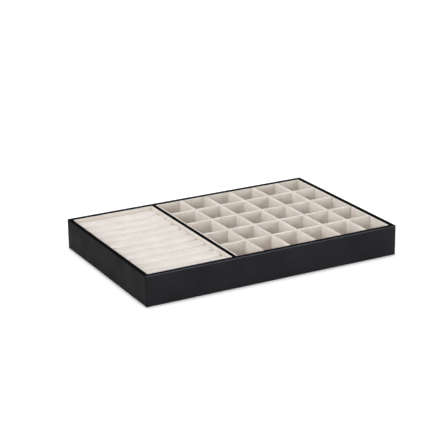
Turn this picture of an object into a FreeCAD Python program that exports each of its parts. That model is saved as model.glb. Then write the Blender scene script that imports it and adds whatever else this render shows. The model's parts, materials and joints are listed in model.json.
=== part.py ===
"""A jewelry tray of wrapped fibreboard: a bed of padded ring rolls beside a grid of compartments.

Millimetres. +Z is up, +X runs along the tray from the ring bed to the grid, and the origin is the middle
of the underside. Each function makes one kind of piece, and build() names every piece.
"""
import FreeCAD
import Part
import math
import os

# Overall size of the tray
LENGTH = 300.0
WIDTH = 200.0
HEIGHT = 34.0

# Thickness of the sheet goods
WALL_BOARD = 3.0  # fibreboard of the four walls
BASE_BOARD = 2.6  # fibreboard of the base
BAY_BOARD = 2.2  # fibreboard between the two bays
LEATHERETTE = 0.6  # black skin over the walls and the bay divider
FELT = 0.4  # sheet that covers the underside
FLOOR_CARD = 1.4  # velvet-faced card on the floor of each bay
LINER_CARD = 1.8  # velvet-wrapped card on the walls of each bay
STRIP_CARD = 3.6  # velvet-wrapped card of the grid
ROLL_COVER = 0.8  # velvet sleeve of a ring roll

# Joints and wrapping of the walls
CORNER_REBATE = 1.5  # how far a side wall's end sits in the front and back walls
BOARD_EASE = 0.2  # bevel along a board's edges under the leatherette
CORNER_EASE = 0.4  # rounding of the tray's upright corners under the leatherette
TURN_IN = 12.0  # how far the leatherette goes down inside the rim
TURN_UNDER = 12.0  # how far the leatherette goes in under the base
SEAM_GAP = 0.3  # width of the butt seam where the leatherette's ends meet
SEAM_FROM_CORNER = 20.0  # place of that seam on the back wall, from the right corner
FELT_MARGIN = 4.0  # from the tray's outline to the edge of the felt
FELT_JOGGLE = 1.5  # width of the step where the felt rises from the turned-under skin to the base

# Layout of the bays
RING_BAY = 98.2  # clear length of the ring bed, from the left wall's skin to the divider's
BAY_DROP = 0.4  # the bay divider's top, below the rim
LINER_DROP = 0.6  # the liners' tops, below the rim
LINER_ROUND = 0.7  # rounding of a liner's wrapped top edges
GLUE_FIT = 0.1  # gap between a glued-in card and what stands beside it

# Ring rolls, which lie along X
ROLL_COUNT = 10
ROLL_DROP = 3.5  # the crowns, below the rim
ROLL_GAP = 0.3  # between two rolls, and between a roll and a liner
ROLL_END_ROUND = 3.0  # soft rounding of a roll's ends
ROLL_END_STEPS = 3  # outlines from a roll's end to its full section

# Compartment grid
COLUMNS = 6  # compartments along X
ROWS = 5  # compartments along Y
STRIP_DROP = 0.2  # the grid's top, below the rim
STRIP_ROUND = 1.0  # rounding of a strip's wrapped top edges
SLOT_FIT = 0.1  # clearance on each side of a half-lap slot, and at its end

# What follows from those sizes
WALL = WALL_BOARD + 2 * LEATHERETTE
SKIN_EASE = BOARD_EASE + LEATHERETTE
BOARD_LENGTH = LENGTH - 2 * LEATHERETTE
BOARD_WIDTH = WIDTH - 2 * LEATHERETTE
BOARD_BOTTOM = FELT + LEATHERETTE
BOARD_TOP = HEIGHT - LEATHERETTE
INSIDE_BOARDS_X = BOARD_LENGTH / 2 - WALL_BOARD
INSIDE_BOARDS_Y = BOARD_WIDTH / 2 - WALL_BOARD
INSIDE_X = LENGTH / 2 - WALL
INSIDE_Y = WIDTH / 2 - WALL
BASE_TOP = BOARD_BOTTOM + BASE_BOARD
FLOOR_TOP = BASE_TOP + FLOOR_CARD
BAY_THICKNESS = BAY_BOARD + 2 * LEATHERETTE
RING_BAY_X = (-INSIDE_X, -INSIDE_X + RING_BAY)
GRID_BAY_X = (RING_BAY_X[1] + BAY_THICKNESS, INSIDE_X)
LINER_TOP = HEIGHT - LINER_DROP
LINED = GLUE_FIT + LINER_CARD  # from a bay's wall to the velvet that shows
LINED_Y = INSIDE_Y - LINED
ROLL_PITCH = (2 * LINED_Y - ROLL_GAP) / ROLL_COUNT
ROLL_TOP = HEIGHT - ROLL_DROP
ROLL_X = (RING_BAY_X[0] + LINED + ROLL_GAP, RING_BAY_X[1] - LINED - ROLL_GAP)
STRIP_TOP = HEIGHT - STRIP_DROP
STRIP_MIDDLE = (FLOOR_TOP + STRIP_TOP) / 2
GRID_X = (GRID_BAY_X[0] + LINED, GRID_BAY_X[1] - LINED)
CELL_X = (GRID_X[1] - GRID_X[0] - (COLUMNS - 1) * STRIP_CARD) / COLUMNS
CELL_Y = (2 * LINED_Y - (ROWS - 1) * STRIP_CARD) / ROWS

SAME = 1e-3  # two places closer than this are the same place


def block(x, y, z):
    """A box from (low, high) pairs along the three axes."""
    size = [high - low for low, high in (x, y, z)]
    return Part.makeBox(*size, FreeCAD.Vector(x[0], y[0], z[0]))


def middle_block(length, width, z):
    """A box of that length and width, centred on the origin, between two heights."""
    return block((-length / 2, length / 2), (-width / 2, width / 2), z)


def edges_at(shape, **place):
    """The edges that lie wholly at the given x, y or z."""

    def lies_there(edge):
        bound = edge.BoundBox
        ends = {"x": (bound.XMin, bound.XMax), "y": (bound.YMin, bound.YMax), "z": (bound.ZMin, bound.ZMax)}
        return all(abs(end - value) < SAME for axis, value in place.items() for end in ends[axis])

    return [edge for edge in shape.Edges if lies_there(edge)]


def upright_edges(shape, half_length, half_width):
    """The four upright corner edges of a box that is centred on the origin."""
    return [
        edge
        for x in (-half_length, half_length)
        for y in (-half_width, half_width)
        for edge in edges_at(shape, x=x, y=y)
    ]


def wall_frame():
    """The four walls as one ring of board, with every wrapped edge eased."""
    outside = middle_block(BOARD_LENGTH, BOARD_WIDTH, (BOARD_BOTTOM, BOARD_TOP))
    outside = outside.makeFillet(CORNER_EASE, upright_edges(outside, BOARD_LENGTH / 2, BOARD_WIDTH / 2))
    outside = outside.makeChamfer(BOARD_EASE, edges_at(outside, z=BOARD_BOTTOM))
    inside = middle_block(2 * INSIDE_BOARDS_X, 2 * INSIDE_BOARDS_Y, (0, HEIGHT))
    ring = outside.cut(inside)
    return ring.makeChamfer(BOARD_EASE, edges_at(ring, z=BOARD_TOP))


def wall_boards(frame):
    """The ring of board as four walls: the side walls' ends sit in rebates of the front and back walls."""
    height = (0, HEIGHT)
    end_y = INSIDE_BOARDS_Y + CORNER_REBATE
    left = block((-LENGTH / 2, -INSIDE_BOARDS_X), (-end_y, end_y), height)
    right = block((INSIDE_BOARDS_X, LENGTH / 2), (-end_y, end_y), height)
    front = block((-LENGTH / 2, LENGTH / 2), (-WIDTH / 2, -INSIDE_BOARDS_Y), height).cut(left).cut(right)
    back = block((-LENGTH / 2, LENGTH / 2), (INSIDE_BOARDS_Y, WIDTH / 2), height).cut(left).cut(right)
    regions = {"front_board": front, "back_board": back, "left_board": left, "right_board": right}
    return {name: frame.common(region) for name, region in regions.items()}


def base_board():
    """The base, set between the walls and flush with their lower edges."""
    return middle_block(2 * INSIDE_BOARDS_X, 2 * INSIDE_BOARDS_Y, (BOARD_BOTTOM, BASE_TOP))


def leatherette_wrap(frame):
    """The black skin: one strip from under the base, up the walls, over the rim and down inside it."""
    form = middle_block(LENGTH, WIDTH, (FELT, HEIGHT))
    form = form.makeFillet(CORNER_EASE + LEATHERETTE, upright_edges(form, LENGTH / 2, WIDTH / 2))
    form = form.makeFillet(SKIN_EASE, edges_at(form, z=FELT))
    form = form.cut(middle_block(2 * INSIDE_X, 2 * INSIDE_Y, (BOARD_BOTTOM, HEIGHT)))
    form = form.makeFillet(SKIN_EASE, edges_at(form, z=HEIGHT))
    under = middle_block(LENGTH - 2 * TURN_UNDER, WIDTH - 2 * TURN_UNDER, (FELT, BOARD_BOTTOM))
    bare_height = (BOARD_BOTTOM, HEIGHT - TURN_IN)
    bare_inside = middle_block(2 * INSIDE_BOARDS_X, 2 * INSIDE_BOARDS_Y, bare_height)
    seam_x = LENGTH / 2 - SEAM_FROM_CORNER
    seam = block((seam_x - SEAM_GAP / 2, seam_x + SEAM_GAP / 2), (0, WIDTH), (0, HEIGHT))
    return form.cut([frame, under, bare_inside, seam])


def base_felt():
    """The sheet over the underside: its border lies on the turned-under skin, its middle on the base."""
    sheet = middle_block(LENGTH - 2 * FELT_MARGIN, WIDTH - 2 * FELT_MARGIN, (0, BOARD_BOTTOM))
    opening = middle_block(LENGTH - 2 * TURN_UNDER, WIDTH - 2 * TURN_UNDER, (FELT, BOARD_BOTTOM))
    skin = middle_block(LENGTH, WIDTH, (FELT, BOARD_BOTTOM)).cut(opening)
    hollow = Part.makeLoft([felt_step(FELT_JOGGLE, 0), felt_step(2 * FELT_JOGGLE, LEATHERETTE)], True, True)
    return sheet.cut([skin, hollow])


def felt_step(inward, z):
    """A rectangle that far inside the edge of the turned-under skin, as a wire."""
    half_x = LENGTH / 2 - TURN_UNDER - inward
    half_y = WIDTH / 2 - TURN_UNDER - inward
    corners = [(-half_x, -half_y), (half_x, -half_y), (half_x, half_y), (-half_x, half_y)]
    return Part.makePolygon([FreeCAD.Vector(x, y, z) for x, y in corners + corners[:1]])


def bay_divider():
    """The black divider between the bays: a board on the base, and the skin folded over its top."""
    across = (-INSIDE_Y + GLUE_FIT, INSIDE_Y - GLUE_FIT)
    top = HEIGHT - BAY_DROP
    board_x = (RING_BAY_X[1] + LEATHERETTE, GRID_BAY_X[0] - LEATHERETTE)
    board = block(board_x, across, (BASE_TOP, top - LEATHERETTE))
    board = board.makeChamfer(BOARD_EASE, long_top_edges(board, board_x, top - LEATHERETTE))
    skin_x = (RING_BAY_X[1], GRID_BAY_X[0])
    skin = block(skin_x, across, (top - TURN_IN, top))
    skin = skin.makeFillet(SKIN_EASE, long_top_edges(skin, skin_x, top))
    return {"bay_divider_board": board, "bay_divider_wrap": skin.cut(board)}


def long_top_edges(shape, x, top):
    """The two edges along Y at the top of an upright sheet that spans those x."""
    return [edge for side in x for edge in edges_at(shape, x=side, z=top)]


def floor_card(bay_x):
    """The velvet-faced card on the floor of a bay."""
    x = (bay_x[0] + GLUE_FIT, bay_x[1] - GLUE_FIT)
    return block(x, (-INSIDE_Y + GLUE_FIT, INSIDE_Y - GLUE_FIT), (BASE_TOP, FLOOR_TOP))


def liners(bay_x, prefix):
    """Four velvet-wrapped cards round a bay: front and back run its length, the others stand between."""
    x = (bay_x[0] + GLUE_FIT, bay_x[1] - GLUE_FIT)
    y = (-INSIDE_Y + GLUE_FIT, INSIDE_Y - GLUE_FIT)
    lined_x = (bay_x[0] + LINED, bay_x[1] - LINED)
    lined_y = (-LINED_Y, LINED_Y)
    upright = (FLOOR_TOP, LINER_TOP)
    cards = {
        "front": block(x, (y[0], lined_y[0]), upright),
        "back": block(x, (lined_y[1], y[1]), upright),
        "left": block((x[0], lined_x[0]), lined_y, upright),
        "right": block((lined_x[1], x[1]), lined_y, upright),
    }
    made = {}
    for side, card in cards.items():
        bound = card.BoundBox
        if side in ("front", "back"):
            tops = [edge for at in (bound.YMin, bound.YMax) for edge in edges_at(card, y=at, z=LINER_TOP)]
        else:
            tops = long_top_edges(card, (bound.XMin, bound.XMax), LINER_TOP)
        made[f"{prefix}_liner_{side}"] = card.makeFillet(LINER_ROUND, tops)
    return made


def roll_section(x, y, inward=0.0, drawn=0.0):
    """A ring roll's outline across X: upright sides under a half-round crown.

    inward draws every side in, and drawn draws in the crown and the sides but not the foot.
    """
    radius = (ROLL_PITCH - ROLL_GAP) / 2 - inward
    shoulder = ROLL_TOP - inward - radius
    radius -= drawn
    slant = radius * 0.5**0.5
    foot = FLOOR_TOP + inward

    def point(across, z):
        return FreeCAD.Vector(x, y + across, z)

    outline = [
        Part.LineSegment(point(-radius, foot), point(radius, foot)),
        Part.LineSegment(point(radius, foot), point(radius, shoulder)),
        Part.Arc(point(radius, shoulder), point(slant, shoulder + slant), point(0, shoulder + radius)),
        Part.Arc(point(0, shoulder + radius), point(-slant, shoulder + slant), point(-radius, shoulder)),
        Part.LineSegment(point(-radius, shoulder), point(-radius, foot)),
    ]
    return Part.Wire([curve.toShape() for curve in outline])


def roll_form(y):
    """A whole ring roll, lofted through outlines that draw in on a quarter circle towards each end."""
    turns = [math.radians(90 * step / ROLL_END_STEPS) for step in range(ROLL_END_STEPS + 1)]
    stations = [
        (ROLL_END_ROUND * (1 - math.cos(turn)), ROLL_END_ROUND * (1 - math.sin(turn))) for turn in turns
    ]
    near = [roll_section(ROLL_X[0] + along, y, drawn=drawn) for along, drawn in stations]
    far = [roll_section(ROLL_X[1] - along, y, drawn=drawn) for along, drawn in reversed(stations)]
    return Part.makeLoft(near + far, True, True)


def roll_foam(y):
    """The foam in a ring roll: cut square where the sleeve's folded ends begin to round over."""
    fold = max(ROLL_END_ROUND, ROLL_COVER)
    face = Part.Face(roll_section(ROLL_X[0] + fold, y, inward=ROLL_COVER))
    return face.extrude(FreeCAD.Vector(ROLL_X[1] - ROLL_X[0] - 2 * fold, 0, 0))


def ring_rolls():
    """The ring rolls, from the front of the bed to the back: a foam core inside a velvet sleeve."""
    made = {}
    for number in range(1, ROLL_COUNT + 1):
        y = (number - (ROLL_COUNT + 1) / 2) * ROLL_PITCH
        foam = roll_foam(y)
        made[f"ring_roll_foam_{number:02d}"] = foam
        made[f"ring_roll_cover_{number:02d}"] = roll_form(y).cut(foam)
    return made


def strip_x(number):
    """Middle of a cross strip, counted from the ring bed."""
    return GRID_X[0] + number * (CELL_X + STRIP_CARD) - STRIP_CARD / 2


def strip_y(number):
    """Middle of a long strip, counted from the front."""
    return -LINED_Y + number * (CELL_Y + STRIP_CARD) - STRIP_CARD / 2


def around(middle, width):
    """The (low, high) pair of that width about a middle."""
    return (middle - width / 2, middle + width / 2)


def cross_strips():
    """The grid's strips along Y, each with half-lap slots open at the top."""
    slot = STRIP_CARD + 2 * SLOT_FIT
    across = (-LINED_Y + GLUE_FIT, LINED_Y - GLUE_FIT)
    made = {}
    for number in range(1, COLUMNS):
        x = around(strip_x(number), STRIP_CARD)
        strip = block(x, across, (FLOOR_TOP, STRIP_TOP))
        strip = strip.makeFillet(STRIP_ROUND, long_top_edges(strip, x, STRIP_TOP))
        slots = [
            block(x, around(strip_y(row), slot), (STRIP_MIDDLE - SLOT_FIT, HEIGHT))
            for row in range(1, ROWS)
        ]
        made[f"cross_strip_{number}"] = strip.cut(slots)
    return made


def long_strips():
    """The grid's strips along X, each with half-lap slots open at the foot."""
    slot = STRIP_CARD + 2 * SLOT_FIT
    along = (GRID_X[0] + GLUE_FIT, GRID_X[1] - GLUE_FIT)
    made = {}
    for number in range(1, ROWS):
        y = around(strip_y(number), STRIP_CARD)
        strip = block(along, y, (FLOOR_TOP, STRIP_TOP))
        tops = [edge for side in y for edge in edges_at(strip, y=side, z=STRIP_TOP)]
        strip = strip.makeFillet(STRIP_ROUND, tops)
        slots = [
            block(around(strip_x(column), slot), y, (FLOOR_TOP, STRIP_MIDDLE + SLOT_FIT))
            for column in range(1, COLUMNS)
        ]
        made[f"long_strip_{number}"] = strip.cut(slots)
    return made


def build():
    """Every piece of the tray by name."""
    frame = wall_frame()
    return {
        **wall_boards(frame),
        "base_board": base_board(),
        "leatherette_wrap": leatherette_wrap(frame),
        "base_felt": base_felt(),
        **bay_divider(),
        "ring_floor": floor_card(RING_BAY_X),
        **liners(RING_BAY_X, "ring"),
        **ring_rolls(),
        "grid_floor": floor_card(GRID_BAY_X),
        **liners(GRID_BAY_X, "grid"),
        **cross_strips(),
        **long_strips(),
    }


def main():
    os.makedirs("parts", exist_ok=True)
    for name, shape in build().items():
        solids = shape.Solids
        if len(solids) != 1 or not solids[0].isValid():
            raise ValueError(f"{name} is not one sound solid")
        solids[0].exportStep(os.path.join("parts", f"{name}.step"))
        print(f"{name}: {solids[0].Volume:.1f} mm3")
    print(f"compartments {CELL_X:.2f} x {CELL_Y:.2f} mm, {HEIGHT - FLOOR_TOP:.2f} mm below the rim")
    print(f"ring rolls every {ROLL_PITCH:.2f} mm")


if __name__ == "__main__":
    main()
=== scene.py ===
# %% [markdown]
# A shallow jewelry tray: black leatherette over fibreboard, with a bed of padded ring rolls on the
# left and a velvet grid of open compartments on the right. The CAD model already holds every piece
# at its real size, in metres, with +Z up and the origin under the middle of the tray. This lesson
# loads that frame and dresses it, piece by piece. Nothing in the frame is moved: a piece is given a
# finish, or a finer one stands for it.

import json
import math

import bpy
import numpy as np
from mathutils import Matrix, Vector


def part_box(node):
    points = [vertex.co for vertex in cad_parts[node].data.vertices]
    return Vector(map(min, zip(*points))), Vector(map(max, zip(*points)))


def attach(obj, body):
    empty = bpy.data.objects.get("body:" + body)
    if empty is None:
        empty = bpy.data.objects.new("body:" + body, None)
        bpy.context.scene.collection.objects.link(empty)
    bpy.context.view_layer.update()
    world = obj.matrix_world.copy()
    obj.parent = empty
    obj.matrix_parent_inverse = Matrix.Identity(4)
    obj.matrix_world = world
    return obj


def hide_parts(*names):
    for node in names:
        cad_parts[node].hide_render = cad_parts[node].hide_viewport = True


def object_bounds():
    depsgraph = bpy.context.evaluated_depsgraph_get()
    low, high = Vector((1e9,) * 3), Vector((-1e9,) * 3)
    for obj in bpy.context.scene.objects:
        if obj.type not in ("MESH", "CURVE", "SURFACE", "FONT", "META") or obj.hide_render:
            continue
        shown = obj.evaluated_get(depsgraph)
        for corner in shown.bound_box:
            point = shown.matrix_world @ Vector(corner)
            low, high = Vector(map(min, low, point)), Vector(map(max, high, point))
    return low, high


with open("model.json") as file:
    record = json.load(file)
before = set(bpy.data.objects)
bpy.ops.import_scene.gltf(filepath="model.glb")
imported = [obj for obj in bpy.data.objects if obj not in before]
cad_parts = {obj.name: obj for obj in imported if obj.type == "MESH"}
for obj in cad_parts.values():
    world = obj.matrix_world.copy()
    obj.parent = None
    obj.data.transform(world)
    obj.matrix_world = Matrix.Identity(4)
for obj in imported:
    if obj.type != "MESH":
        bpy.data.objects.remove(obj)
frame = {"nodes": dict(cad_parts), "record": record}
nodes = frame["nodes"]
CAD_BOX = [list(corner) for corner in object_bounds()]
MM = 0.001


def corners_of(node):
    """Lowest and highest corner of a CAD node, as arrays."""
    return tuple(np.array(corner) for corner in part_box(node))


print(f"{len(nodes)} CAD nodes in a box of {np.round(np.subtract(*CAD_BOX[::-1]) / MM, 1)} mm")

# %% [markdown]
# The camera comes first, because every later judgement is made through it. The tray's three sizes
# are known, so a pinhole camera could be fitted to its edges in the photograph: where it stands
# round the tray, how high, how far off, and how long its lens is. A long lens from low down gives
# the flat, calm view of a catalogue picture.

# %% Camera
PHOTO_PIXELS = 430
FOCAL_PIXELS = 1456.4
AZIMUTH, ELEVATION, ROLL = np.radians([-27.911, 19.030, -0.832])
DISTANCE = 1595.9 * MM
SLIDE_LEFT, SLIDE_UP = 16.44 * MM, 23.60 * MM
TRAY_MIDDLE = np.array([0.0, 0.0, 17.0 * MM])


def photograph_camera():
    """A camera whose axes are right, up and back: back points from the tray to the lens, and roll
    turns the other two about it."""
    level_out = math.cos(ELEVATION)
    back = np.array(
        [math.sin(AZIMUTH) * level_out, -math.cos(AZIMUTH) * level_out, math.sin(ELEVATION)]
    )
    level = np.array([math.cos(AZIMUTH), math.sin(AZIMUTH), 0.0])
    upright = np.cross(back, level)
    right = math.cos(ROLL) * level + math.sin(ROLL) * upright
    up = math.cos(ROLL) * upright - math.sin(ROLL) * level
    place = TRAY_MIDDLE + DISTANCE * back - SLIDE_LEFT * right + SLIDE_UP * up
    data = bpy.data.cameras.new("photograph")
    data.lens = data.sensor_width * FOCAL_PIXELS / PHOTO_PIXELS
    camera = bpy.data.objects.new("photograph", data)
    turned = Matrix(np.stack([right, up, back], axis=1)).to_4x4()
    camera.matrix_world = Matrix.Translation(place) @ turned
    bpy.context.scene.collection.objects.link(camera)
    bpy.context.scene.camera = camera
    return camera


camera = photograph_camera()
print(f"lens {camera.data.lens:.1f} mm, camera at {np.round(camera.location, 3)} m")

# %% [markdown]
# Finishes come next. Each one starts from what the real stuff is and how its surface was made, and
# is drawn by a few nodes on Object coordinates, which are metres in the tray's own frame. So a
# grain of half a millimetre is a noise whose scale is one over 0.0005. Colours are written as sRGB
# hex, as a colour picker shows them, and turned to the linear values that shaders work in.


# %% Colours and nodes
def linear(code):
    """An sRGB hex code as linear RGBA: a dark channel is divided by 12.92, and any other goes
    through the power 2.4 after an offset of 0.055."""
    channels = np.array([int(code[i : i + 2], 16) / 255 for i in (1, 3, 5)])
    curve = np.where(channels <= 0.04045, channels / 12.92, ((channels + 0.055) / 1.055) ** 2.4)
    return (*curve.tolist(), 1.0)


def add_node(tree, kind, settings=None, in_order=(), **named):
    """Adds a node and returns its outputs. settings are its properties. Its inputs are given in
    order or by name, and each is a value, or an output to link."""
    made = tree.nodes.new(kind)
    for name, value in (settings or {}).items():
        setattr(made, name, value)
    by_name = {name.replace("_", " "): value for name, value in named.items()}
    for key, value in [*enumerate(in_order), *by_name.items()]:
        if isinstance(value, bpy.types.NodeSocket):
            tree.links.new(value, made.inputs[key])
        else:
            made.inputs[key].default_value = value
    return made.outputs


def new_finish(name):
    """A material without nodes, its tree, and the Object coordinates that its patterns read."""
    material = bpy.data.materials.new(name)
    material.use_nodes = True
    tree = material.node_tree
    tree.nodes.clear()
    return material, tree, add_node(tree, "ShaderNodeTexCoord")["Object"]


# %% [markdown]
# Leatherette is a black vinyl skin, embossed with a pebble grain and left dull satin. Its own
# colour is almost nothing: what the eye sees is the white table mirrored, very broadly, in the
# upright walls, while the top of the rim mirrors the dim room behind. So the base colour stays dark
# and the roughness high, and the grain is Voronoi pebbles with finer pores, as a bump. Hands rub
# the top of the rim, and most of all its front edge, where the tray is drawn out of a cabinet. So
# the skin is smoother there, and that edge carries a thin glint.

# %% Leatherette
PEBBLE = 0.7 * MM
PORE = 0.16 * MM
HANDLED = 22 * MM  # broad patches where fingers have dulled the skin
SATIN = 0.72, 0.82  # roughness where it is least and most handled
RUBBED = 0.34  # roughness where hands have rubbed it smooth
EDGE_UP = 32.2 * MM, 33.0 * MM  # from where to where it gets that smooth on the front edge, upwards
FRONT_OUT = -98.6 * MM, -99.2 * MM  # and forwards
TOP_UP = 33.4 * MM, 33.8 * MM  # and all round the top of the rim, upwards


def leatherette():
    """The roughness is the rubbed one where y is past FRONT_OUT and z past EDGE_UP, or z is past
    TOP_UP. The pores are a second bump on top of the pebbles."""
    material, tree, place = new_finish("black_leatherette")
    pebbles = add_node(
        tree, "ShaderNodeTexVoronoi", {"feature": "SMOOTH_F1"}, Vector=place, Scale=1 / PEBBLE
    )
    pores = add_node(tree, "ShaderNodeTexNoise", Vector=place, Scale=1 / PORE, Detail=2.0)
    handled = add_node(tree, "ShaderNodeTexNoise", Vector=place, Scale=1 / HANDLED, Detail=4.0)
    dullness = add_node(
        tree,
        "ShaderNodeMapRange",
        Value=handled["Fac"],
        From_Min=0.3,
        From_Max=0.7,
        To_Min=SATIN[0],
        To_Max=SATIN[1],
    )
    spot = add_node(tree, "ShaderNodeSeparateXYZ", Vector=place)
    rubbed = 1.0
    for axis, (start, stop), end in (
        ("Z", EDGE_UP, "To_Max"),
        ("Y", FRONT_OUT, "To_Max"),
        ("Z", TOP_UP, "To_Min"),
    ):
        past = {"Value": spot[axis], "From_Min": start, "From_Max": stop, end: rubbed}
        rubbed = add_node(tree, "ShaderNodeMapRange", **past)["Result"]
    roughness = add_node(
        tree,
        "ShaderNodeMixRGB",
        Fac=rubbed,
        Color1=dullness["Result"],
        Color2=(RUBBED, RUBBED, RUBBED, 1.0),
    )
    grain = add_node(
        tree, "ShaderNodeBump", Strength=0.7, Distance=0.1 * MM, Height=pebbles["Distance"]
    )
    fine = add_node(
        tree,
        "ShaderNodeBump",
        Strength=0.2,
        Distance=0.02 * MM,
        Height=pores["Fac"],
        Normal=grain["Normal"],
    )
    shader = add_node(
        tree,
        "ShaderNodeBsdfPrincipled",
        Base_Color=linear("#0a0a0c"),
        Roughness=roughness["Color"],
        Specular_IOR_Level=0.21,
        Normal=fine["Normal"],
    )
    add_node(tree, "ShaderNodeOutputMaterial", Surface=shader["BSDF"])
    return material


black_leatherette = leatherette()

# %% [markdown]
# Velvet is a short upright pile. It has no gloss, but its fibre tips catch light at a grazing
# angle, which the sheen lobe gives. The pile leans a little this way and that, so broad patches
# look lighter or darker, and close up the fibres make a fine speckle.

# %% Velvet
NAP_PATCH = 16 * MM
PILE = 0.5 * MM  # real pile is finer, about 0.1 mm, and would not show


def velvet(name, light, dark, sheen):
    """Pile that is light where it leans one way and dark where it leans the other. The speckle
    multiplies that colour, and sheen is the weight of the sheen lobe."""
    material, tree, place = new_finish(name)
    nap = add_node(
        tree, "ShaderNodeTexNoise", Vector=place, Scale=1 / NAP_PATCH, Detail=4.0, Roughness=0.6
    )
    pile = add_node(
        tree, "ShaderNodeTexNoise", Vector=place, Scale=1 / PILE, Detail=3.0, Roughness=0.7
    )
    lean = add_node(tree, "ShaderNodeMapRange", Value=nap["Fac"], From_Min=0.32, From_Max=0.68)
    speckle = add_node(
        tree, "ShaderNodeMapRange", Value=pile["Fac"], From_Min=0.3, From_Max=0.7, To_Min=0.93
    )
    leaning = add_node(
        tree, "ShaderNodeMixRGB", Fac=lean["Result"], Color1=linear(dark), Color2=linear(light)
    )
    colour = add_node(
        tree,
        "ShaderNodeMixRGB",
        {"blend_type": "MULTIPLY"},
        Fac=1.0,
        Color1=leaning["Color"],
        Color2=speckle["Result"],
    )
    fibres = add_node(tree, "ShaderNodeBump", Strength=0.5, Distance=0.12 * MM, Height=pile["Fac"])
    shader = add_node(
        tree,
        "ShaderNodeBsdfPrincipled",
        Base_Color=colour["Color"],
        Roughness=0.95,
        Specular_IOR_Level=0.05,
        Sheen_Weight=sheen,
        Sheen_Roughness=0.4,
        Sheen_Tint=linear("#ffffff"),
        Normal=fibres["Normal"],
    )
    add_node(tree, "ShaderNodeOutputMaterial", Surface=shader["BSDF"])
    return material


card_velvet = velvet("cream_card_velvet", "#e0dad2", "#d5cbc2", 0.35)
roll_velvet = velvet("cream_roll_velvet", "#e8e2dc", "#dfd7cf", 0.35)

# %% [markdown]
# The last three finishes hardly show: black needle felt under the tray, brown fibreboard inside the
# walls, and pale foam inside the rolls. They still get their own look, because the part may be
# taken apart.

# %% Felt, fibreboard and foam
FELT_TUFT = 1.2 * MM
CHIP = 1.5 * MM
FOAM_CELL = 0.8 * MM


def speckled(name, light, dark, size, roughness):
    """Flecks of a size in two colours, raised by an eighth of that size."""
    material, tree, place = new_finish(name)
    flecks = add_node(
        tree, "ShaderNodeTexNoise", Vector=place, Scale=1 / size, Detail=6.0, Roughness=0.7
    )
    share = add_node(tree, "ShaderNodeMapRange", Value=flecks["Fac"], From_Min=0.35, From_Max=0.65)
    colour = add_node(
        tree, "ShaderNodeMixRGB", Fac=share["Result"], Color1=linear(dark), Color2=linear(light)
    )
    bump = add_node(tree, "ShaderNodeBump", Strength=0.6, Distance=size / 8, Height=flecks["Fac"])
    shader = add_node(
        tree,
        "ShaderNodeBsdfPrincipled",
        Base_Color=colour["Color"],
        Roughness=roughness,
        Specular_IOR_Level=0.2,
        Normal=bump["Normal"],
    )
    add_node(tree, "ShaderNodeOutputMaterial", Surface=shader["BSDF"])
    return material


black_felt = speckled("black_needle_felt", "#1d1d1e", "#0e0e0f", FELT_TUFT, 0.95)
fibreboard = speckled("brown_fibreboard", "#b08d66", "#8a6a48", CHIP, 0.75)
foam = speckled("cream_foam", "#ece6d2", "#d9d0b6", FOAM_CELL, 0.9)

# %% Finish the CAD nodes
SLOT_FINISH = {
    "fibreboard": fibreboard,
    "leatherette": black_leatherette,
    "felt": black_felt,
    "liner_velvet": card_velvet,
    "roll_velvet": roll_velvet,
    "foam": foam,
}
slot_of = {part["node"]: part["material_slot"] for part in frame["record"]["subparts"]}
for name, piece in nodes.items():
    piece.data.materials.clear()
    piece.data.materials.append(SLOT_FINISH[slot_of[name]])
print("finished", len(nodes), "nodes")

# %% [markdown]
# Boards, floors and felt are flat sheets, and the CAD solids already are that shape, so they stay.
# Skins and velvet-wrapped cards are softer than CAD draws them, and each is a closed outline
# carried along a path. One helper turns such rings of points into a mesh with its faces outwards,
# another gives handwork's slight unevenness, a third hands the piece to the frame, and a fourth
# adds points to an outline.


# %% Meshes from rings
def loft(name, rings, closed=False, crease=40.0):
    """rings[i, j] is point j of a closed outline at station i of a path. Quads join neighbouring
    points of neighbouring stations; a closed path joins its last station to its first, and an open
    one is capped by its end outlines. The summed triple products of the quads' halves, seen from
    the middle, are the volume six times over, and where that is negative every face is turned
    round."""
    stations, points = rings.shape[:2]
    index = np.arange(stations * points).reshape(stations, points)
    ahead = np.roll(index, -1, axis=1)
    rows = slice(None) if closed else slice(-1)
    later, later_ahead = (np.roll(part, -1, axis=0) for part in (index, ahead))
    quads = np.stack([part[rows] for part in (index, ahead, later_ahead, later)], axis=-1)
    quads = quads.reshape(-1, 4)
    spots = rings.reshape(-1, 3)
    a, b, c, d = np.moveaxis((spots - spots.mean(axis=0))[quads], 1, 0)
    volume = np.sum(a * (np.cross(b, c) + np.cross(c, d)))
    faces = quads.tolist()
    if not closed:
        faces += [index[0, ::-1].tolist(), index[-1].tolist()]
    if volume < 0:
        faces = [face[::-1] for face in faces]
    mesh = bpy.data.meshes.new(name)
    mesh.from_pydata(spots.tolist(), [], faces)
    mesh.polygons.foreach_set("use_smooth", np.ones(len(faces), dtype=bool))
    mesh.set_sharp_from_angle(angle=math.radians(crease))
    piece = bpy.data.objects.new(name, mesh)
    bpy.context.scene.collection.objects.link(piece)
    return piece


WAVES = 8
WAVE_SPREAD = 0.6, 1.8  # their lengths, from the least to the most, over the size asked for


def unevenness(points, size, seed):
    """Handwork's unevenness at each point, about -1 to 1: twice the mean of some sine waves through
    space, of lengths near size, with directions and phases drawn from the seed."""
    draw = np.random.default_rng(seed)
    way = draw.normal(size=(3, WAVES))
    way /= np.linalg.norm(way, axis=0)
    length = size * draw.uniform(*WAVE_SPREAD, WAVES)
    phase = draw.uniform(0, 2 * np.pi, WAVES)
    return 2 * np.sin(2 * np.pi * (points @ way) / length + phase).mean(axis=-1)


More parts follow.
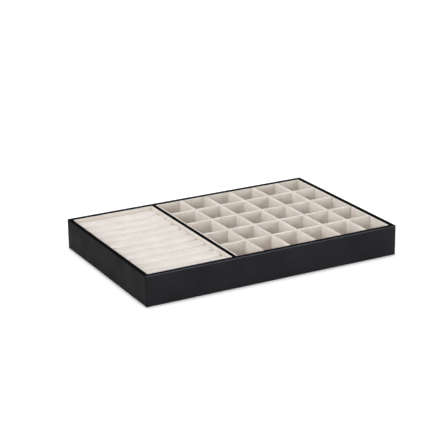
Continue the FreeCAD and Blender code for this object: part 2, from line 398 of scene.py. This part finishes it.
def hand_over(piece, slot, *replaced):
    """Gives a piece its slot's finish, and puts it in the frame in place of the CAD nodes named."""
    piece.data.materials.append(SLOT_FINISH[slot])
    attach(piece, "root")
    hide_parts(*replaced)


def subdivided(outline, step):
    """A closed outline with points added, so that no straight piece is longer than step."""
    reach = np.roll(outline, -1, axis=0) - outline
    counts = np.maximum(1, np.ceil(np.linalg.norm(reach, axis=1) / step)).astype(int)
    passed = np.arange(counts.sum()) - np.repeat(np.cumsum(counts) - counts, counts)
    starts = np.repeat(outline, counts, axis=0)
    steps = np.repeat(reach / counts[:, None], counts, axis=0)
    return starts + steps * passed[:, None]


# %% [markdown]
# The black skin is one long strip of leatherette. It is glued under the base, goes up the outside,
# over the rim and down inside it, and its ends meet in a butt seam on the back. Its outline is
# given as depth inwards from the tray's face and height. Carried round the tray, a point at some
# depth runs on a rectangle that is that much smaller, with corners rounded by what is left of the
# outer radius. Where the strip is mitred on the rim's corners the fold dips a little, and the glued
# skin is never quite flat.

# %% Leatherette skin
SKIN = 0.6 * MM
WALL = 4.2 * MM
TURN = 12 * MM
RIM_ROUND = 1.2 * MM  # outer edge of the rim
FOOT_ROUND = 0.5 * MM
FOLD_ROUND = 0.4 * MM  # tighter, where the skin turns down inside
CORNER_ROUND = 1.0 * MM
MITRE_ROUND = 0.15 * MM  # what is left of the rounding inside the rim
FOLD_DIP = 0.18 * MM
FOLD_SHARP = 8  # exponent that keeps the dip close to the mitre
SEAM_PLACE = 130 * MM  # along x, on the back
SEAM_GAP = 0.3 * MM
SEAM_DIP = 0.35 * MM
SEAM_STEPS = np.array([-3, -1, -0.5, 0.5, 1, 3])  # stations across it, in gaps from its middle
SKIN_WAVE = 0.05 * MM
SKIN_WAVE_LENGTH = 60 * MM
FACE_DEPTH = 1.0 * MM  # depth at which the face's wave has mostly faded
SKIN_SEED = 11
ON_TOP = 1.2 * SKIN  # what is less than this below a skin's top is part of the top
CORNER_SIGNS = np.array([(1, -1), (1, 1), (-1, 1), (-1, -1)])  # of x and y, in order round the tray
BACK_SIDE = 1  # runs from the second corner to the third
quarter = np.linspace(0, np.pi / 2, 6)  # angles along a rounded edge


def skin_outline(foot, top):
    """Closed outline (depth, height) of the skin: in under the base, three rounded edges, down
    inside the rim, and back along the boards."""
    flat, steep = 1 - np.cos(quarter), 1 - np.sin(quarter)
    outer = [
        [[TURN, foot]],
        np.stack([FOOT_ROUND * steep, foot + FOOT_ROUND * flat], axis=1),
        np.stack([RIM_ROUND * flat, top - RIM_ROUND * steep], axis=1),
        np.stack([WALL - FOLD_ROUND * steep, top - FOLD_ROUND * flat], axis=1),
        [[WALL, top - TURN]],
    ]
    inner = [
        [WALL - SKIN, top - TURN],
        [WALL - SKIN, top - SKIN],
        [SKIN, top - SKIN],
        [SKIN, foot + SKIN],
        [TURN, foot + SKIN],
    ]
    return subdivided(np.concatenate([*outer, inner]), step=3 * MM)


def skin_path(half, step=5 * MM, corner_stations=9):
    """Stations once round the tray. Each row is the corner it leaves, its share of the way to the
    next, the angle it faces, and how much of the mitre fold and of the seam it has."""
    rows = []
    for corner, side in enumerate(2 * half[[1, 0, 1, 0]]):
        facing = (corner - 1) * np.pi / 2 + np.linspace(0, np.pi / 2, corner_stations)
        fold = np.sin(np.linspace(0, np.pi, corner_stations)) ** FOLD_SHARP
        still = np.zeros(corner_stations)
        rows.append(np.stack([still + corner, still, facing, fold, still], axis=1))
        share = np.arange(1, round(side / step)) * step / side
        seam = np.zeros(len(share))
        if corner == BACK_SIDE:
            middle = (half[0] - SEAM_PLACE) / side
            share = np.append(share, middle + SEAM_STEPS * SEAM_GAP / side)
            seam = np.append(seam, np.abs(SEAM_STEPS) < 1)
            order = np.argsort(share)
            share, seam = share[order], seam[order]
        still = np.zeros(len(share))
        facing = still + corner * np.pi / 2
        rows.append(np.stack([still + corner, share, facing, still, seam], axis=1))
    return np.concatenate(rows)


def leatherette_skin(low, high):
    """The outline at every station of the path. Its face goes in where it waves and at the seam,
    less and less with the square of the depth, and its top goes down at the mitre folds."""
    half = high[:2]
    outline = skin_outline(low[2], high[2])
    leaves, share, facing, fold, seam = skin_path(half).T[..., None]
    corner = leaves[:, 0].astype(int)
    way = CORNER_SIGNS[corner] * (1 - share) + CORNER_SIGNS[(corner + 1) % 4] * share
    out = np.concatenate([np.cos(facing), np.sin(facing)], axis=1)

    def placed(depth, height):
        """A point is its corner centres' mean, by share, plus the rounding the way it faces."""
        rounding = np.maximum(CORNER_ROUND - depth, MITRE_ROUND)[..., None]
        centre = half - depth[..., None] - rounding
        plan = way[:, None] * centre + out[:, None] * rounding
        return np.concatenate([plan, height[..., None]], axis=-1)

    depth, height = (np.broadcast_to(part, (len(way), len(outline))) for part in outline.T)
    outside = np.exp(-((depth / FACE_DEPTH) ** 2))
    wave = unevenness(placed(depth, height), SKIN_WAVE_LENGTH, SKIN_SEED)
    inwards = outside * (SKIN_WAVE * (1 + wave) + SEAM_DIP * seam)
    on_rim = height > high[2] - ON_TOP
    rings = placed(depth + inwards, height - FOLD_DIP * fold * on_rim)
    return loft("leatherette_skin", rings, closed=True)


skin = leatherette_skin(*corners_of("leatherette_wrap"))
hand_over(skin, "leatherette", "leatherette_wrap")
print("leatherette skin:", len(skin.data.polygons), "faces")

# %% [markdown]
# The bay divider's skin is a strip folded over the top of a thin board, so its outline is an
# upside-down U with two rounded shoulders, carried straight from the front wall to the back.

# %% Bay divider's skin
DIVIDER_STATIONS = 48
SIDE_WAVE_LENGTH = 50 * MM
TOP_WAVE_LENGTH = 40 * MM
SIDE_SEED, TOP_SEED = 12, 13


def divider_skin(low, high):
    """The U in (x, z), repeated along y, with quarter circles as shoulders. The skin waves."""
    half, top = (high[0] - low[0]) / 2, high[2]
    flat, steep = 1 - np.cos(quarter), 1 - np.sin(quarter)
    shoulder = np.stack([half - FOLD_ROUND * steep, top - FOLD_ROUND * flat], axis=1)
    foot = np.array([[half, low[2]], [half - SKIN, low[2]], [half - SKIN, top - SKIN]])
    right = np.concatenate([shoulder, foot])
    outline = subdivided(np.concatenate([right, right[::-1] * (-1, 1)]), step=2 * MM)
    along = np.linspace(low[1], high[1], DIVIDER_STATIONS)
    rings = np.empty((len(along), len(outline), 3))
    rings[..., 0] = (low[0] + high[0]) / 2 + outline[:, 0]
    rings[..., 1] = along[:, None]
    rings[..., 2] = outline[:, 1]
    rings[..., 0] += SKIN_WAVE * unevenness(rings, SIDE_WAVE_LENGTH, SIDE_SEED)
    on_top = outline[:, 1] > top - ON_TOP
    rings[..., 2] -= SKIN_WAVE * (1 + unevenness(rings, TOP_WAVE_LENGTH, TOP_SEED)) * on_top
    return loft("bay_divider_skin", rings)


fold = divider_skin(*corners_of("bay_divider_wrap"))
hand_over(fold, "leatherette", "bay_divider_wrap")
print("bay divider's skin:", len(fold.data.polygons), "faces")

# %% [markdown]
# The liners and the grid's strips are cards wrapped in velvet. Seen from the end, a card is an
# upright slab with two soft top edges. The grid is an egg crate: the strips across the tray are
# slotted half way down from the top, and those along it half way up from the foot. So a slotted
# card is carried along its length with its outline squeezed to the half that is left at each slot.
# The velvet is folded round every cut edge, so the card narrows there on a quarter circle, and the
# joint shows as a fine dark line. A liner's top fold is pressed down a little below the rim, which
# leaves a thin dark edge of leatherette above it. By the divider it lies lower on the side of the
# rings, and level with the divider on the other.

# %% Velvet-wrapped cards
CARD_STEP = 2.5 * MM
CARD_WAVE = 0.12 * MM
CARD_WAVE_LENGTH = 28 * MM
END_ROUND = 0.6 * MM
SLOT_FIT = 0.1 * MM
SLIVER = 0.01 * MM  # how far inside a slot its own two stations are


def card_outline(width, height, rounding):
    """Closed outline (across, up) of a card: up one side, two quarter circles, down the other."""
    out, over = rounding * np.cos(quarter), rounding * np.sin(quarter)
    shoulder = np.stack([width / 2 - rounding + over, height - rounding + out], axis=1)
    right = np.concatenate([shoulder, [[width / 2, 0.0]]])
    return subdivided(np.concatenate([right, right[::-1] * (-1, 1)]), CARD_STEP)


def card_stations(length, slots):
    """Places along a card, as rows: the place, how far the end edge and the slot edge have turned
    in there on their quarter circles, and whether it is inside a slot."""
    stretches = np.concatenate([[0.0], np.ravel(slots), [length]]).reshape(-1, 2)
    turn = END_ROUND * (1 - np.sin(quarter))
    ease = END_ROUND * (1 - np.cos(quarter))
    rows = []
    for k, (start, stop) in enumerate(stretches):
        count = max(3, round((stop - start) / CARD_STEP))
        middle = np.linspace(start + END_ROUND, stop - END_ROUND, count)[1:-1]
        place = np.concatenate([start + ease, middle, stop - ease[::-1]])
        still = np.zeros(len(place))
        edge = np.concatenate([turn, np.zeros(len(middle)), turn[::-1]])
        at_end = ((k == 0) & (place < start + END_ROUND)) | (
            (k == len(stretches) - 1) & (place > stop - END_ROUND)
        )
        rows.append(np.stack([place, edge * at_end, edge * ~at_end, still], axis=1))
        if k + 1 < len(stretches):
            gap = np.array([stop + SLIVER, stretches[k + 1, 0] - SLIVER])
            rows.append(np.stack([gap, [0, 0], [0, 0], [1, 1]], axis=1))
    return np.concatenate(rows)


def wrapped_card(node, rounding, seed, slots=(), slot_at_foot=False, drop=0.0):
    """A card as large as its CAD node, with its top lower by drop. It gets narrower and lower by
    what its edge has turned in, and inside a slot its height is squeezed to the half that is left.
    Its top waves most."""
    low, high = corners_of(node)
    high = high - (0, 0, drop)
    size = high - low
    along = int(np.argmax(size[:2]))
    outline = card_outline(size[1 - along], size[2], rounding)
    place, end_turn, slot_turn, slotted = card_stations(size[along], slots).T[..., None]
    across, up = outline.T
    share = up / size[2]
    cut_half = share < 0.5 if slot_at_foot else share > 0.5
    turn = end_turn + slot_turn * cut_half
    left_over = (0.5 + share / 2 if slot_at_foot else share / 2) * size[2]
    rings = np.empty((len(place), len(outline), 3))
    rings[..., along] = low[along] + place
    rings[..., 1 - along] = (low + high)[1 - along] / 2 + across * (1 - 2 * turn / size[1 - along])
    rings[..., 2] = low[2] + np.where(slotted > 0, left_over, up - turn * share)
    rings[..., 1 - along] += CARD_WAVE * share * unevenness(rings, CARD_WAVE_LENGTH, seed)
    return loft(f"{node}_card", rings)


# %% Liners
LINER_ROUND = 0.6 * MM
LINER_DROP = 0.4 * MM  # how far the velvet's fold is pressed down along the rim
OTHER_DROPS = {
    "ring_liner_right": 0.6 * MM,
    "grid_liner_right": 0.6 * MM,
    "grid_liner_left": -0.2 * MM,
}
LINER_SEED = 20  # the first liner's, and the next one has the next number
liners = [name for name in nodes if "_liner_" in name]
for seed, name in enumerate(sorted(liners), LINER_SEED):
    card = wrapped_card(name, LINER_ROUND, seed, drop=OTHER_DROPS.get(name, LINER_DROP))
    hand_over(card, "liner_velvet", name)
print("wrapped", len(liners), "liners")

# %% Grid strips
STRIP_ROUND = 1.0 * MM
CROSS_SEED, LONG_SEED = 40, 50
cross_strips = sorted(name for name in nodes if name.startswith("cross_strip"))
long_strips = sorted(name for name in nodes if name.startswith("long_strip"))


def slots_for(card, others, along):
    """The stretch of a card that each crossing card needs, with its fit, from the card's start."""
    start = corners_of(card)[0][along]
    spans = np.array([[corner[along] for corner in corners_of(other)] for other in others])
    return spans - start + (-SLOT_FIT, SLOT_FIT)


for seed, name in enumerate(cross_strips, CROSS_SEED):
    slots = slots_for(name, long_strips, 1)
    card = wrapped_card(name, STRIP_ROUND, seed, slots)
    hand_over(card, "liner_velvet", name)
for seed, name in enumerate(long_strips, LONG_SEED):
    slots = slots_for(name, cross_strips, 0)
    card = wrapped_card(name, STRIP_ROUND, seed, slots, slot_at_foot=True)
    hand_over(card, "liner_velvet", name)
print("wrapped", len(cross_strips), "cross strips and", len(long_strips), "long strips")

# %% [markdown]
# A ring roll is a foam core in a velvet sleeve: flat at the foot, upright at the sides where the
# next roll presses, and full and round on top. It is cut a little too long, so that its ends press
# on the liners, and they are drawn in at the sides, which leaves a notch where two rolls meet.
# Cloth simulation gives the sleeve its tension. Each one starts as a slim form, with no two quite
# alike, is remeshed to even quads, and is blown up by pressure with its foot held. The simulation
# works best at the size of a cushion, so it runs ten times too large and is scaled back. Of a
# point's movement only the part straight out of the sleeve is kept, and that is capped, so that the
# sleeve stays in its own space beside its neighbours.

# %% Ring rolls, start forms
ROLL_SLIM = 0.3 * MM
ROLL_PRESS = 1.0 * MM  # how much too long a sleeve is for its place, at either end
ROLL_END = 3.5 * MM
END_FALL = 0.25  # how much the ends come down, as a share of how much they are drawn in
ROLL_SQUARE = 4.4  # exponent of the crown: 2 is a circle, and more is fuller
CROWN_POINTS = 33
ROLL_STATIONS = 48
ROLL_WAVE = 0.25 * MM
ROLL_WAVE_LENGTH = 45 * MM
ROLL_SEED = 60
rolls = sorted(name for name in nodes if name.startswith("ring_roll_cover"))


def roll_outline(half, height):
    """Closed outline (across, up): upright sides, and a crown in which the powers of across and of
    the height over the shoulder, each over the half width, add up to one."""
    angle = np.linspace(0, np.pi, CROWN_POINTS)
    crown_across = half * np.sign(np.cos(angle)) * np.abs(np.cos(angle)) ** (2 / ROLL_SQUARE)
    crown_up = height - half + half * np.sin(angle) ** (2 / ROLL_SQUARE)
    crown = np.stack([crown_across, crown_up], axis=1)
    return subdivided(np.concatenate([crown, [[-half, 0.0], [half, 0.0]]]), step=1.5 * MM)


def roll_start(node, seed):
    """The outline carried along x, drawn in at both ends on quarter circles, which bring the top
    down by a share of that, and a little uneven."""
    low, high = corners_of(node)
    low, high = low + (-ROLL_PRESS, ROLL_SLIM, 0), high + (ROLL_PRESS, -ROLL_SLIM, -ROLL_SLIM)
    size = high - low
    outline = roll_outline(size[1] / 2, size[2])
    ease = ROLL_END * (1 - np.cos(quarter))
    middle = np.linspace(low[0] + ROLL_END, high[0] - ROLL_END, ROLL_STATIONS)[1:-1]
    place = np.concatenate([low[0] + ease, middle, high[0] - ease[::-1]])
    turn = ROLL_END * (1 - np.sin(quarter))
    drawn = np.concatenate([turn, np.zeros(len(middle)), turn[::-1]])[:, None]
    across, up = outline.T
    rings = np.empty((len(place), len(outline), 3))
    rings[..., 0] = place[:, None]
    rings[..., 1] = (low + high)[1] / 2 + across * (1 - 2 * drawn / size[1])
    rings[..., 2] = low[2] + up - END_FALL * drawn * up / size[2]
    rings[..., 2] += ROLL_WAVE * unevenness(rings, ROLL_WAVE_LENGTH, seed) * up / size[2]
    return loft(f"{node}_start", rings)


# %% Ring rolls, cloth simulation
SIM_SCALE = 10.0
VOXEL = 1.7 * MM
PRESSURE = 4.0
FRAMES = 20
PUFF = 0.9 * MM  # how far a point of the sleeve may move out
SINK = 0.1 * MM  # and in, where the foam holds it


def remeshed(start):
    """A new object with the start form's surface as even quads."""
    modifier = start.modifiers.new("even_quads", "REMESH")
    modifier.mode = "VOXEL"
    modifier.voxel_size = VOXEL
    deps = bpy.context.evaluated_depsgraph_get()
    mesh = bpy.data.meshes.new_from_object(start.evaluated_get(deps))
    bpy.data.objects.remove(start)
    made = bpy.data.objects.new("roll", mesh)
    bpy.context.scene.collection.objects.link(made)
    return made


def spots_of(mesh, kind="co"):
    """Where a mesh's vertices are, as rows, or which way they face if the kind is "normal"."""
    spots = np.empty(len(mesh.vertices) * 3)
    mesh.vertices.foreach_get(kind, spots)
    return spots.reshape(-1, 3)


def give_pressure(sleeve):
    """Cloth with pressure and without gravity. The foot, which is glued, is held."""
    spots = spots_of(sleeve.data)
    sleeve.data.vertices.foreach_set("co", (spots * SIM_SCALE).ravel())
    held = sleeve.vertex_groups.new(name="foot")
    held.add(np.flatnonzero(spots[:, 2] < spots[:, 2].min() + VOXEL).tolist(), 1.0, "REPLACE")
    cloth = sleeve.modifiers.new("sleeve", "CLOTH")
    cloth.settings.vertex_group_mass = "foot"
    cloth.settings.use_pressure = True
    cloth.settings.uniform_pressure_force = PRESSURE
    cloth.settings.effector_weights.gravity = 0.0
    cloth.collision_settings.use_collision = False
    cloth.point_cache.frame_end = FRAMES


sleeves = [remeshed(roll_start(name, seed)) for seed, name in enumerate(rolls, ROLL_SEED)]
blown = [spots_of(sleeve.data) for sleeve in sleeves]
outwards = [spots_of(sleeve.data, "normal") for sleeve in sleeves]
for sleeve in sleeves:
    give_pressure(sleeve)
for frame_number in range(1, FRAMES + 1):
    bpy.context.scene.frame_set(frame_number)
deps = bpy.context.evaluated_depsgraph_get()
after = [spots_of(sleeve.evaluated_get(deps).data) / SIM_SCALE for sleeve in sleeves]
blown = [
    spots + out * np.clip(np.sum((puffed - spots) * out, axis=1, keepdims=True), -SINK, PUFF)
    for spots, puffed, out in zip(blown, after, outwards)
]
for sleeve in sleeves:
    sleeve.modifiers.clear()
    sleeve.vertex_groups.clear()
bpy.context.scene.frame_set(1)
heights = [np.ptp(spots[:, 2]) / MM for spots in blown]
print("blown up, the sleeves are", np.round(heights, 2), "mm high")
print(sum(len(spots) for spots in blown), "points in the sleeves")

# %% [markdown]
# The sleeve is tucked in at the roll's ends, so the velvet gathers there in small folds that fade
# out along the roll. These are too fine for the simulation's quads and come after it, as a ripple
# round the roll.

# %% Ring rolls, gathers and place
GATHERS = 15
GATHER_DEPTH = 0.3 * MM
GATHER_REACH = 5 * MM
GATHER_SEED = 80
OVERHANG = np.array([0.2, 0.09, 0.3]) * MM  # how far a sleeve may go past its CAD solid, each way


def gathered(spots, node, seed):
    """Waves round the roll's middle line, strongest at its ends, kept in the sleeve's own space."""
    low, high = corners_of(node)
    middle = (low + high) / 2
    from_end = np.minimum(spots[:, 0] - low[0], high[0] - spots[:, 0])
    angle = np.arctan2(spots[:, 2] - middle[2], spots[:, 1] - middle[1])
    phase = np.random.default_rng(seed).uniform(0, 2 * np.pi, 2)
    wave = np.cos(GATHERS * angle + np.where(spots[:, 0] < middle[0], *phase))
    depth = GATHER_DEPTH * wave * np.exp(-np.maximum(from_end, 0) / GATHER_REACH)
    spots = spots + depth[:, None] * np.stack([0 * angle, np.cos(angle), np.sin(angle)], axis=1)
    return np.clip(spots, low - OVERHANG * (1, 1, 0), high + OVERHANG)


for seed, (name, sleeve, spots) in enumerate(zip(rolls, sleeves, blown), GATHER_SEED):
    sleeve.name = sleeve.data.name = name.replace("cover", "sleeve")
    sleeve.data.vertices.foreach_set("co", gathered(spots, name, seed).ravel())
    sleeve.data.polygons.foreach_set("use_smooth", np.ones(len(sleeve.data.polygons), dtype=bool))
    sleeve.data.update()
    finer = sleeve.modifiers.new("finer", "SUBSURF")
    finer.levels = finer.render_levels = 1
    hand_over(sleeve, "roll_velvet", name)
print("sewed", len(sleeves), "sleeves")

# %% [markdown]
# The stage is a white table without an edge. Four broad lights shine on it from round about, as in
# a light tent, at a level where a colour renders about as it is written. They are polarised, so
# that black leatherette doesn't mirror them, and one small, cool light only shows as the glint
# along the rim's front edge. A little emission lifts the table to pure white, but only for the eye
# and for reflections. Close to the tray that emission fades out, which paints a dark contact shadow
# round the tray's foot. The room behind is dim, as the dark top of the rim shows.

# %% Stage
TABLE_HALF = 20.0
TABLE_LIFT = 0.45  # emission that makes the table pure white
PAINTED_SHADOW_LIFT_SHARE = 0.1  # share of it that is left close beside the tray, which paints a dark contact shadow there
PAINTED_SHADOW_REACH = 4.5 * MM  # how far from the tray's front the painted contact shadow reaches and the lift is whole again
PAINTED_SHADOW_SIDE_SHARE = 1.9  # and nearer by this at its sides, so that the painted shadow is narrower there
ROOM_COLOUR = 0.012, 0.012, 0.012, 1.0


def white_table():
    """Diffuse paper plus emission. The emission grows with the distance outside the tray's plan,
    which is the length of what is left of the absolute coordinates after the tray's half sizes are
    taken off, so the weaker emission close to the tray paints a dark contact shadow there."""
    material, tree, place = new_finish("white_table")
    rays = add_node(tree, "ShaderNodeLightPath")
    seen = rays["Is Camera Ray"]
    for kind in ("Is Glossy Ray", "Is Transmission Ray"):
        lighter = add_node(
            tree,
            "ShaderNodeMixRGB",
            {"blend_type": "LIGHTEN"},
            Fac=1.0,
            Color1=seen,
            Color2=rays[kind],
        )
        seen = lighter["Color"]
    away = place
    for operation, other in (
        ("ABSOLUTE", None),
        ("SUBTRACT", (*CAD_BOX[1][:2], 0.0)),
        ("MAXIMUM", (0.0, 0.0, 0.0)),
        ("MULTIPLY", (PAINTED_SHADOW_SIDE_SHARE, 1.0, 0.0)),
        ("LENGTH", None),
    ):
        inputs = [away] if other is None else [away, other]
        step = add_node(tree, "ShaderNodeVectorMath", {"operation": operation}, inputs)
        away = step["Value" if operation == "LENGTH" else "Vector"]
    # the lift is weaker close to the tray, which paints a dark contact shadow round its foot
    level = add_node(
        tree,
        "ShaderNodeMapRange",
        Value=away,
        From_Max=PAINTED_SHADOW_REACH,
        To_Min=PAINTED_SHADOW_LIFT_SHARE * TABLE_LIFT,
        To_Max=TABLE_LIFT,
    )
    lift = add_node(tree, "ShaderNodeEmission", Color=seen, Strength=level["Result"])
    paper = add_node(tree, "ShaderNodeBsdfDiffuse", Color=linear("#f4f4f4"))
    lit = add_node(tree, "ShaderNodeAddShader", None, [paper["BSDF"], lift["Emission"]])
    add_node(tree, "ShaderNodeOutputMaterial", Surface=lit["Shader"])
    corners = np.append(CORNER_SIGNS * TABLE_HALF, np.zeros((4, 1)), axis=1)
    mesh = bpy.data.meshes.new("white_table")
    mesh.from_pydata(corners.tolist(), [], [(0, 1, 2, 3)])
    mesh.materials.append(material)
    table = bpy.data.objects.new("white_table", mesh)
    bpy.context.scene.collection.objects.link(table)


def soft_sun(name, comes_from, spread, strength, colour="#ffffff", glint=False):
    """Light from one direction, softened by the angle that its disc spans. It is polarised, so that
    dull black surfaces don't mirror it, or else it is a glint, which only shows in gloss."""
    data = bpy.data.lights.new(name, "SUN")
    data.angle = math.radians(spread)
    data.energy = strength
    data.color = linear(colour)[:3]
    lamp = bpy.data.objects.new(name, data)
    lamp.rotation_euler = Vector(comes_from).to_track_quat("Z", "Y").to_euler()
    lamp.visible_glossy = glint
    lamp.visible_diffuse = not glint
    bpy.context.scene.collection.objects.link(lamp)


SUNS = {  # where each comes from, the degrees that its disc spans, and its strength
    "back_right": ((0.23, 0.39, 0.89), 30.0, 1.4),
    "left": ((-0.87, 0.0, 0.5), 50.0, 1.5),
    "front_left": ((-0.66, -0.66, 0.37), 40.0, 1.7),
    "front_right": ((0.63, -0.70, 0.33), 40.0, 1.5),
}
white_table()
for name, sun in SUNS.items():
    soft_sun(name, *sun)
soft_sun("edge_glint", (0.44, -0.87, 0.20), 14.0, 3.0, "#e8edff", glint=True)
world = bpy.data.worlds.new("dim_room")
world.use_nodes = True
world.node_tree.nodes["Background"].inputs["Color"].default_value = ROOM_COLOUR
bpy.context.scene.world = world
bpy.context.scene.view_settings.view_transform = "Standard"
